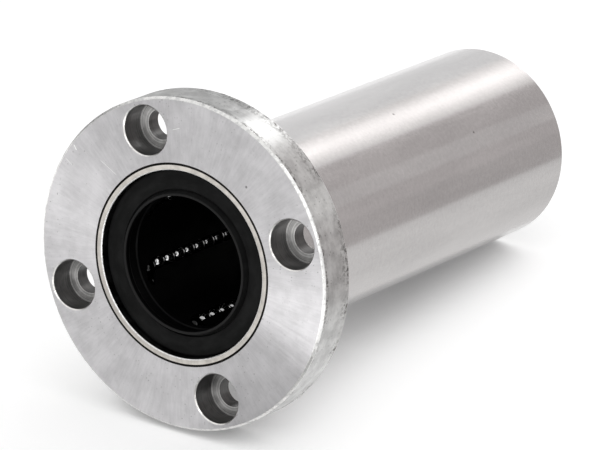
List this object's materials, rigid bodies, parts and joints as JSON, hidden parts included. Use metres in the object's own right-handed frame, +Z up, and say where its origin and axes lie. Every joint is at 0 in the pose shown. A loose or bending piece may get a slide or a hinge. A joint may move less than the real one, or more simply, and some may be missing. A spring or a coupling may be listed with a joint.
{
  "type": "flanged linear bearing",
  "caption": "Long linear ball bushing with a round counterbored flange at one end, sealed at both ends, guiding a round shaft on recirculating balls.",
  "frame": {"origin": "on the bore's axis, in the flange's mounting face, which is its back face", "axes": "+Y along the bore from the mounting face towards the tail, +Z up. The bolt holes stand 22.5 degrees off the X and Z axes, as the bearing lies in the picture."},
  "size_m": [0.074, 0.123, 0.074],
  "materials": {
    "flange_steel": "turned and face-ground steel, satin",
    "sleeve_steel": "hardened and ground steel, fine satin",
    "ball_steel": "polished bearing steel",
    "cage_plastic": "black moulded plastic, lightly oiled",
    "seal_rubber": "black moulded rubber, matt"
  },
  "bodies": {
    "housing": {"flange": "flange_steel", "outer_sleeve": "sleeve_steel", "front_seal": "seal_rubber", "rear_seal": "seal_rubber", "front_retainer": "cage_plastic", "rear_retainer": "cage_plastic"},
    "front_circuit_1_loaded_balls": {"front_circuit_1_loaded_balls": "ball_steel"},
    "front_circuit_1_return_balls": {"front_circuit_1_return_balls": "ball_steel"},
    "front_circuit_1_outer_turn_balls": {"front_circuit_1_outer_turn_balls": "ball_steel"},
    "front_circuit_1_inner_turn_balls": {"front_circuit_1_inner_turn_balls": "ball_steel"},
    "front_circuit_2_loaded_balls": {"front_circuit_2_loaded_balls": "ball_steel"},
    "front_circuit_2_return_balls": {"front_circuit_2_return_balls": "ball_steel"},
    "front_circuit_2_outer_turn_balls": {"front_circuit_2_outer_turn_balls": "ball_steel"},
    "front_circuit_2_inner_turn_balls": {"front_circuit_2_inner_turn_balls": "ball_steel"},
    "front_circuit_3_loaded_balls": {"front_circuit_3_loaded_balls": "ball_steel"},
    "front_circuit_3_return_balls": {"front_circuit_3_return_balls": "ball_steel"},
    "front_circuit_3_outer_turn_balls": {"front_circuit_3_outer_turn_balls": "ball_steel"},
    "front_circuit_3_inner_turn_balls": {"front_circuit_3_inner_turn_balls": "ball_steel"},
    "front_circuit_4_loaded_balls": {"front_circuit_4_loaded_balls": "ball_steel"},
    "front_circuit_4_return_balls": {"front_circuit_4_return_balls": "ball_steel"},
    "front_circuit_4_outer_turn_balls": {"front_circuit_4_outer_turn_balls": "ball_steel"},
    "front_circuit_4_inner_turn_balls": {"front_circuit_4_inner_turn_balls": "ball_steel"},
    "front_circuit_5_loaded_balls": {"front_circuit_5_loaded_balls": "ball_steel"},
    "front_circuit_5_return_balls": {"front_circuit_5_return_balls": "ball_steel"},
    "front_circuit_5_outer_turn_balls": {"front_circuit_5_outer_turn_balls": "ball_steel"},
    "front_circuit_5_inner_turn_balls": {"front_circuit_5_inner_turn_balls": "ball_steel"},
    "front_circuit_6_loaded_balls": {"front_circuit_6_loaded_balls": "ball_steel"},
    "front_circuit_6_return_balls": {"front_circuit_6_return_balls": "ball_steel"},
    "front_circuit_6_outer_turn_balls": {"front_circuit_6_outer_turn_balls": "ball_steel"},
    "front_circuit_6_inner_turn_balls": {"front_circuit_6_inner_turn_balls": "ball_steel"},
    "rear_circuit_1_loaded_balls": {"rear_circuit_1_loaded_balls": "ball_steel"},
    "rear_circuit_1_return_balls": {"rear_circuit_1_return_balls": "ball_steel"},
    "rear_circuit_1_outer_turn_balls": {"rear_circuit_1_outer_turn_balls": "ball_steel"},
    "rear_circuit_1_inner_turn_balls": {"rear_circuit_1_inner_turn_balls": "ball_steel"},
    "rear_circuit_2_loaded_balls": {"rear_circuit_2_loaded_balls": "ball_steel"},
    "rear_circuit_2_return_balls": {"rear_circuit_2_return_balls": "ball_steel"},
    "rear_circuit_2_outer_turn_balls": {"rear_circuit_2_outer_turn_balls": "ball_steel"},
    "rear_circuit_2_inner_turn_balls": {"rear_circuit_2_inner_turn_balls": "ball_steel"},
    "rear_circuit_3_loaded_balls": {"rear_circuit_3_loaded_balls": "ball_steel"},
    "rear_circuit_3_return_balls": {"rear_circuit_3_return_balls": "ball_steel"},
    "rear_circuit_3_outer_turn_balls": {"rear_circuit_3_outer_turn_balls": "ball_steel"},
    "rear_circuit_3_inner_turn_balls": {"rear_circuit_3_inner_turn_balls": "ball_steel"},
    "rear_circuit_4_loaded_balls": {"rear_circuit_4_loaded_balls": "ball_steel"},
    "rear_circuit_4_return_balls": {"rear_circuit_4_return_balls": "ball_steel"},
    "rear_circuit_4_outer_turn_balls": {"rear_circuit_4_outer_turn_balls": "ball_steel"},
    "rear_circuit_4_inner_turn_balls": {"rear_circuit_4_inner_turn_balls": "ball_steel"},
    "rear_circuit_5_loaded_balls": {"rear_circuit_5_loaded_balls": "ball_steel"},
    "rear_circuit_5_return_balls": {"rear_circuit_5_return_balls": "ball_steel"},
    "rear_circuit_5_outer_turn_balls": {"rear_circuit_5_outer_turn_balls": "ball_steel"},
    "rear_circuit_5_inner_turn_balls": {"rear_circuit_5_inner_turn_balls": "ball_steel"},
    "rear_circuit_6_loaded_balls": {"rear_circuit_6_loaded_balls": "ball_steel"},
    "rear_circuit_6_return_balls": {"rear_circuit_6_return_balls": "ball_steel"},
    "rear_circuit_6_outer_turn_balls": {"rear_circuit_6_outer_turn_balls": "ball_steel"},
    "rear_circuit_6_inner_turn_balls": {"rear_circuit_6_inner_turn_balls": "ball_steel"}
  },
  "joints": [
    {"name": "front_circuit_1_travel", "type": "slide", "parent": "housing", "child": "front_circuit_1_loaded_balls", "axis": [0, 1, 0], "range_m": [-0.00193, 0.00193]},
    {"name": "front_circuit_1_return", "type": "slide", "parent": "housing", "child": "front_circuit_1_return_balls", "axis": [0, 1, 0], "range_m": [-0.00193, 0.00193]},
    {"name": "front_circuit_1_outer_turn", "type": "hinge", "parent": "housing", "child": "front_circuit_1_outer_turn_balls", "pos_m": [0.0141, 0.00179, 0.00982], "axis": [0.9239, 0, 0.3827], "range_deg": [-30.01, 30.01]},
    {"name": "front_circuit_1_inner_turn", "type": "hinge", "parent": "housing", "child": "front_circuit_1_inner_turn_balls", "pos_m": [0.0141, 0.04414, 0.00982], "axis": [0.9239, 0, 0.3827], "range_deg": [-30.01, 30.01]},
    {"name": "front_circuit_2_travel", "type": "slide", "parent": "housing", "child": "front_circuit_2_loaded_balls", "axis": [0, 1, 0], "range_m": [-0.00193, 0.00193]},
    {"name": "front_circuit_2_return", "type": "slide", "parent": "housing", "child": "front_circuit_2_return_balls", "axis": [0, 1, 0], "range_m": [-0.00193, 0.00193]},
    {"name": "front_circuit_2_outer_turn", "type": "hinge", "parent": "housing", "child": "front_circuit_2_outer_turn_balls", "pos_m": [-0.00145, 0.00179, 0.01712], "axis": [0.1305, 0, 0.9914], "range_deg": [-30.01, 30.01]},
    {"name": "front_circuit_2_inner_turn", "type": "hinge", "parent": "housing", "child": "front_circuit_2_inner_turn_balls", "pos_m": [-0.00145, 0.04414, 0.01712], "axis": [0.1305, 0, 0.9914], "range_deg": [-30.01, 30.01]},
    {"name": "front_circuit_3_travel", "type": "slide", "parent": "housing", "child": "front_circuit_3_loaded_balls", "axis": [0, 1, 0], "range_m": [-0.00193, 0.00193]},
    {"name": "front_circuit_3_return", "type": "slide", "parent": "housing", "child": "front_circuit_3_return_balls", "axis": [0, 1, 0], "range_m": [-0.00193, 0.00193]},
    {"name": "front_circuit_3_outer_turn", "type": "hinge", "parent": "housing", "child": "front_circuit_3_outer_turn_balls", "pos_m": [-0.01556, 0.00179, 0.0073], "axis": [-0.7934, 0, 0.6088], "range_deg": [-30.01, 30.01]},
    {"name": "front_circuit_3_inner_turn", "type": "hinge", "parent": "housing", "child": "front_circuit_3_inner_turn_balls", "pos_m": [-0.01556, 0.04414, 0.0073], "axis": [-0.7934, 0, 0.6088], "range_deg": [-30.01, 30.01]},
    {"name": "front_circuit_4_travel", "type": "slide", "parent": "housing", "child": "front_circuit_4_loaded_balls", "axis": [0, 1, 0], "range_m": [-0.00193, 0.00193]},
    {"name": "front_circuit_4_return", "type": "slide", "parent": "housing", "child": "front_circuit_4_return_balls", "axis": [0, 1, 0], "range_m": [-0.00193, 0.00193]},
    {"name": "front_circuit_4_outer_turn", "type": "hinge", "parent": "housing", "child": "front_circuit_4_outer_turn_balls", "pos_m": [-0.0141, 0.00179, -0.00982], "axis": [-0.9239, 0, -0.3827], "range_deg": [-30.01, 30.01]},
    {"name": "front_circuit_4_inner_turn", "type": "hinge", "parent": "housing", "child": "front_circuit_4_inner_turn_balls", "pos_m": [-0.0141, 0.04414, -0.00982], "axis": [-0.9239, 0, -0.3827], "range_deg": [-30.01, 30.01]},
    {"name": "front_circuit_5_travel", "type": "slide", "parent": "housing", "child": "front_circuit_5_loaded_balls", "axis": [0, 1, 0], "range_m": [-0.00193, 0.00193]},
    {"name": "front_circuit_5_return", "type": "slide", "parent": "housing", "child": "front_circuit_5_return_balls", "axis": [0, 1, 0], "range_m": [-0.00193, 0.00193]},
    {"name": "front_circuit_5_outer_turn", "type": "hinge", "parent": "housing", "child": "front_circuit_5_outer_turn_balls", "pos_m": [0.00145, 0.00179, -0.01712], "axis": [-0.1305, 0, -0.9914], "range_deg": [-30.01, 30.01]},
    {"name": "front_circuit_5_inner_turn", "type": "hinge", "parent": "housing", "child": "front_circuit_5_inner_turn_balls", "pos_m": [0.00145, 0.04414, -0.01712], "axis": [-0.1305, 0, -0.9914], "range_deg": [-30.01, 30.01]},
    {"name": "front_circuit_6_travel", "type": "slide", "parent": "housing", "child": "front_circuit_6_loaded_balls", "axis": [0, 1, 0], "range_m": [-0.00193, 0.00193]},
    {"name": "front_circuit_6_return", "type": "slide", "parent": "housing", "child": "front_circuit_6_return_balls", "axis": [0, 1, 0], "range_m": [-0.00193, 0.00193]},
    {"name": "front_circuit_6_outer_turn", "type": "hinge", "parent": "housing", "child": "front_circuit_6_outer_turn_balls", "pos_m": [0.01556, 0.00179, -0.0073], "axis": [0.7934, 0, -0.6088], "range_deg": [-30.01, 30.01]},
    {"name": "front_circuit_6_inner_turn", "type": "hinge", "parent": "housing", "child": "front_circuit_6_inner_turn_balls", "pos_m": [0.01556, 0.04414, -0.0073], "axis": [0.7934, 0, -0.6088], "range_deg": [-30.01, 30.01]},
    {"name": "rear_circuit_1_travel", "type": "slide", "parent": "housing", "child": "rear_circuit_1_loaded_balls", "axis": [0, 1, 0], "range_m": [-0.00193, 0.00193]},
    {"name": "rear_circuit_1_return", "type": "slide", "parent": "housing", "child": "rear_circuit_1_return_balls", "axis": [0, 1, 0], "range_m": [-0.00193, 0.00193]},
    {"name": "rear_circuit_1_outer_turn", "type": "hinge", "parent": "housing", "child": "rear_circuit_1_outer_turn_balls", "pos_m": [0.01692, 0.10121, 0.00303], "axis": [-0.9239, 0, -0.3827], "range_deg": [-30.01, 30.01]},
    {"name": "rear_circuit_1_inner_turn", "type": "hinge", "parent": "housing", "child": "rear_circuit_1_inner_turn_balls", "pos_m": [0.01692, 0.05886, 0.00303], "axis": [-0.9239, 0, -0.3827], "range_deg": [-30.01, 30.01]},
    {"name": "rear_circuit_2_travel", "type": "slide", "parent": "housing", "child": "rear_circuit_2_loaded_balls", "axis": [0, 1, 0], "range_m": [-0.00193, 0.00193]},
    {"name": "rear_circuit_2_return", "type": "slide", "parent": "housing", "child": "rear_circuit_2_return_balls", "axis": [0, 1, 0], "range_m": [-0.00193, 0.00193]},
    {"name": "rear_circuit_2_outer_turn", "type": "hinge", "parent": "housing", "child": "rear_circuit_2_outer_turn_balls", "pos_m": [0.01108, 0.10121, -0.01314], "axis": [-0.7934, 0, 0.6088], "range_deg": [-30.01, 30.01]},
    {"name": "rear_circuit_2_inner_turn", "type": "hinge", "parent": "housing", "child": "rear_circuit_2_inner_turn_balls", "pos_m": [0.01108, 0.05886, -0.01314], "axis": [-0.7934, 0, 0.6088], "range_deg": [-30.01, 30.01]},
    {"name": "rear_circuit_3_travel", "type": "slide", "parent": "housing", "child": "rear_circuit_3_loaded_balls", "axis": [0, 1, 0], "range_m": [-0.00193, 0.00193]},
    {"name": "rear_circuit_3_return", "type": "slide", "parent": "housing", "child": "rear_circuit_3_return_balls", "axis": [0, 1, 0], "range_m": [-0.00193, 0.00193]},
    {"name": "rear_circuit_3_outer_turn", "type": "hinge", "parent": "housing", "child": "rear_circuit_3_outer_turn_balls", "pos_m": [-0.00584, 0.10121, -0.01616], "axis": [0.1305, 0, 0.9914], "range_deg": [-30.01, 30.01]},
    {"name": "rear_circuit_3_inner_turn", "type": "hinge", "parent": "housing", "child": "rear_circuit_3_inner_turn_balls", "pos_m": [-0.00584, 0.05886, -0.01616], "axis": [0.1305, 0, 0.9914], "range_deg": [-30.01, 30.01]},
    {"name": "rear_circuit_4_travel", "type": "slide", "parent": "housing", "child": "rear_circuit_4_loaded_balls", "axis": [0, 1, 0], "range_m": [-0.00193, 0.00193]},
    {"name": "rear_circuit_4_return", "type": "slide", "parent": "housing", "child": "rear_circuit_4_return_balls", "axis": [0, 1, 0], "range_m": [-0.00193, 0.00193]},
    {"name": "rear_circuit_4_outer_turn", "type": "hinge", "parent": "housing", "child": "rear_circuit_4_outer_turn_balls", "pos_m": [-0.01692, 0.10121, -0.00303], "axis": [0.9239, 0, 0.3827], "range_deg": [-30.01, 30.01]},
    {"name": "rear_circuit_4_inner_turn", "type": "hinge", "parent": "housing", "child": "rear_circuit_4_inner_turn_balls", "pos_m": [-0.01692, 0.05886, -0.00303], "axis": [0.9239, 0, 0.3827], "range_deg": [-30.01, 30.01]},
    {"name": "rear_circuit_5_travel", "type": "slide", "parent": "housing", "child": "rear_circuit_5_loaded_balls", "axis": [0, 1, 0], "range_m": [-0.00193, 0.00193]},
    {"name": "rear_circuit_5_return", "type": "slide", "parent": "housing", "child": "rear_circuit_5_return_balls", "axis": [0, 1, 0], "range_m": [-0.00193, 0.00193]},
    {"name": "rear_circuit_5_outer_turn", "type": "hinge", "parent": "housing", "child": "rear_circuit_5_outer_turn_balls", "pos_m": [-0.01108, 0.10121, 0.01314], "axis": [0.7934, 0, -0.6088], "range_deg": [-30.01, 30.01]},
    {"name": "rear_circuit_5_inner_turn", "type": "hinge", "parent": "housing", "child": "rear_circuit_5_inner_turn_balls", "pos_m": [-0.01108, 0.05886, 0.01314], "axis": [0.7934, 0, -0.6088], "range_deg": [-30.01, 30.01]},
    {"name": "rear_circuit_6_travel", "type": "slide", "parent": "housing", "child": "rear_circuit_6_loaded_balls", "axis": [0, 1, 0], "range_m": [-0.00193, 0.00193]},
    {"name": "rear_circuit_6_return", "type": "slide", "parent": "housing", "child": "rear_circuit_6_return_balls", "axis": [0, 1, 0], "range_m": [-0.00193, 0.00193]},
    {"name": "rear_circuit_6_outer_turn", "type": "hinge", "parent": "housing", "child": "rear_circuit_6_outer_turn_balls", "pos_m": [0.00584, 0.10121, 0.01616], "axis": [-0.1305, 0, -0.9914], "range_deg": [-30.01, 30.01]},
    {"name": "rear_circuit_6_inner_turn", "type": "hinge", "parent": "housing", "child": "rear_circuit_6_inner_turn_balls", "pos_m": [0.00584, 0.05886, 0.01616], "axis": [-0.1305, 0, -0.9914], "range_deg": [-30.01, 30.01]}
  ],
  "couplings": [
    {"joint": "front_circuit_1_return", "follows": "front_circuit_1_travel", "ratio": -1},
    {"joint": "front_circuit_1_outer_turn", "follows": "front_circuit_1_travel", "rad_per_m": 272},
    {"joint": "front_circuit_1_inner_turn", "follows": "front_circuit_1_travel", "rad_per_m": 272},
    {"joint": "front_circuit_2_return", "follows": "front_circuit_2_travel", "ratio": -1},
    {"joint": "front_circuit_2_outer_turn", "follows": "front_circuit_2_travel", "rad_per_m": 272},
    {"joint": "front_circuit_2_inner_turn", "follows": "front_circuit_2_travel", "rad_per_m": 272},
    {"joint": "front_circuit_3_return", "follows": "front_circuit_3_travel", "ratio": -1},
    {"joint": "front_circuit_3_outer_turn", "follows": "front_circuit_3_travel", "rad_per_m": 272},
    {"joint": "front_circuit_3_inner_turn", "follows": "front_circuit_3_travel", "rad_per_m": 272},
    {"joint": "front_circuit_4_return", "follows": "front_circuit_4_travel", "ratio": -1},
    {"joint": "front_circuit_4_outer_turn", "follows": "front_circuit_4_travel", "rad_per_m": 272},
    {"joint": "front_circuit_4_inner_turn", "follows": "front_circuit_4_travel", "rad_per_m": 272},
    {"joint": "front_circuit_5_return", "follows": "front_circuit_5_travel", "ratio": -1},
    {"joint": "front_circuit_5_outer_turn", "follows": "front_circuit_5_travel", "rad_per_m": 272},
    {"joint": "front_circuit_5_inner_turn", "follows": "front_circuit_5_travel", "rad_per_m": 272},
    {"joint": "front_circuit_6_return", "follows": "front_circuit_6_travel", "ratio": -1},
    {"joint": "front_circuit_6_outer_turn", "follows": "front_circuit_6_travel", "rad_per_m": 272},
    {"joint": "front_circuit_6_inner_turn", "follows": "front_circuit_6_travel", "rad_per_m": 272},
    {"joint": "rear_circuit_1_return", "follows": "rear_circuit_1_travel", "ratio": -1},
    {"joint": "rear_circuit_1_outer_turn", "follows": "rear_circuit_1_travel", "rad_per_m": 272},
    {"joint": "rear_circuit_1_inner_turn", "follows": "rear_circuit_1_travel", "rad_per_m": 272},
    {"joint": "rear_circuit_2_return", "follows": "rear_circuit_2_travel", "ratio": -1},
    {"joint": "rear_circuit_2_outer_turn", "follows": "rear_circuit_2_travel", "rad_per_m": 272},
    {"joint": "rear_circuit_2_inner_turn", "follows": "rear_circuit_2_travel", "rad_per_m": 272},
    {"joint": "rear_circuit_3_return", "follows": "rear_circuit_3_travel", "ratio": -1},
    {"joint": "rear_circuit_3_outer_turn", "follows": "rear_circuit_3_travel", "rad_per_m": 272},
    {"joint": "rear_circuit_3_inner_turn", "follows": "rear_circuit_3_travel", "rad_per_m": 272},
    {"joint": "rear_circuit_4_return", "follows": "rear_circuit_4_travel", "ratio": -1},
    {"joint": "rear_circuit_4_outer_turn", "follows": "rear_circuit_4_travel", "rad_per_m": 272},
    {"joint": "rear_circuit_4_inner_turn", "follows": "rear_circuit_4_travel", "rad_per_m": 272},
    {"joint": "rear_circuit_5_return", "follows": "rear_circuit_5_travel", "ratio": -1},
    {"joint": "rear_circuit_5_outer_turn", "follows": "rear_circuit_5_travel", "rad_per_m": 272},
    {"joint": "rear_circuit_5_inner_turn", "follows": "rear_circuit_5_travel", "rad_per_m": 272},
    {"joint": "rear_circuit_6_return", "follows": "rear_circuit_6_travel", "ratio": -1},
    {"joint": "rear_circuit_6_outer_turn", "follows": "rear_circuit_6_travel", "rad_per_m": 272},
    {"joint": "rear_circuit_6_inner_turn", "follows": "rear_circuit_6_travel", "rad_per_m": 272}
  ]
}
